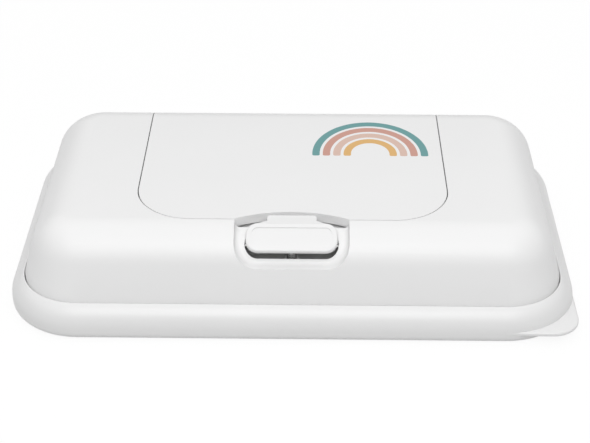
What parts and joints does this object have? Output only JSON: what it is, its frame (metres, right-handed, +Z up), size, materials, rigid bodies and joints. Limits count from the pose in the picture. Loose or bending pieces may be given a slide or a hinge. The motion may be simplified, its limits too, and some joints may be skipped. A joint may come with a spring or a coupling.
{
  "type": "travel wipes case",
  "caption": "Flat travel case for wet wipes: tapered shell with a flush sprung lid, a rocker button at the front and a soft press-fit base cover with a corner pull tab.",
  "frame": {"origin": "middle of the underside of the base cover, on the surface that the case stands on", "axes": "+X to the right along the long side, +Y to the back, where the lid is hinged, +Z up"},
  "size_m": [0.2, 0.1176, 0.036],
  "materials": {
    "cover_plastic": "soft white polyethylene, satin",
    "shell_plastic": "white moulded polypropylene, fine satin",
    "lid_plastic": "white moulded polypropylene, fine satin, printed",
    "button_plastic": "white moulded plastic, satin",
    "soft_insert": "soft pale silicone, matte",
    "seal_rubber": "soft pale grey silicone, matte",
    "pin_steel": "drawn stainless steel",
    "spring_steel": "drawn spring steel wire"
  },
  "bodies": {
    "cover": {"base_cover": "cover_plastic"},
    "shell": {"main_shell": "shell_plastic", "dispenser_insert": "soft_insert", "hinge_pin": "pin_steel", "lid_spring": "spring_steel", "button_pin": "pin_steel", "button_spring": "spring_steel"},
    "lid": {"lid": "lid_plastic", "lid_seal": "seal_rubber"},
    "button": {"release_button": "button_plastic"}
  },
  "joints": [
    {"name": "shell_lift", "type": "slide", "parent": "cover", "child": "shell", "axis": [0, 0, 1], "range_m": [0, 0.05]},
    {"name": "lid_hinge", "type": "hinge", "parent": "shell", "child": "lid", "pos_m": [0, 0.0472, 0.0225], "axis": [-1, 0, 0], "range_deg": [0, 105], "deforming": ["lid_spring"]},
    {"name": "button_press", "type": "hinge", "parent": "shell", "child": "button", "pos_m": [0, -0.04115, 0.02827], "axis": [1, 0, 0], "range_deg": [0, 8], "stiffness_Nm_per_rad": 0.05, "springref_deg": -5.73, "deforming": ["button_spring"]}
  ]
}
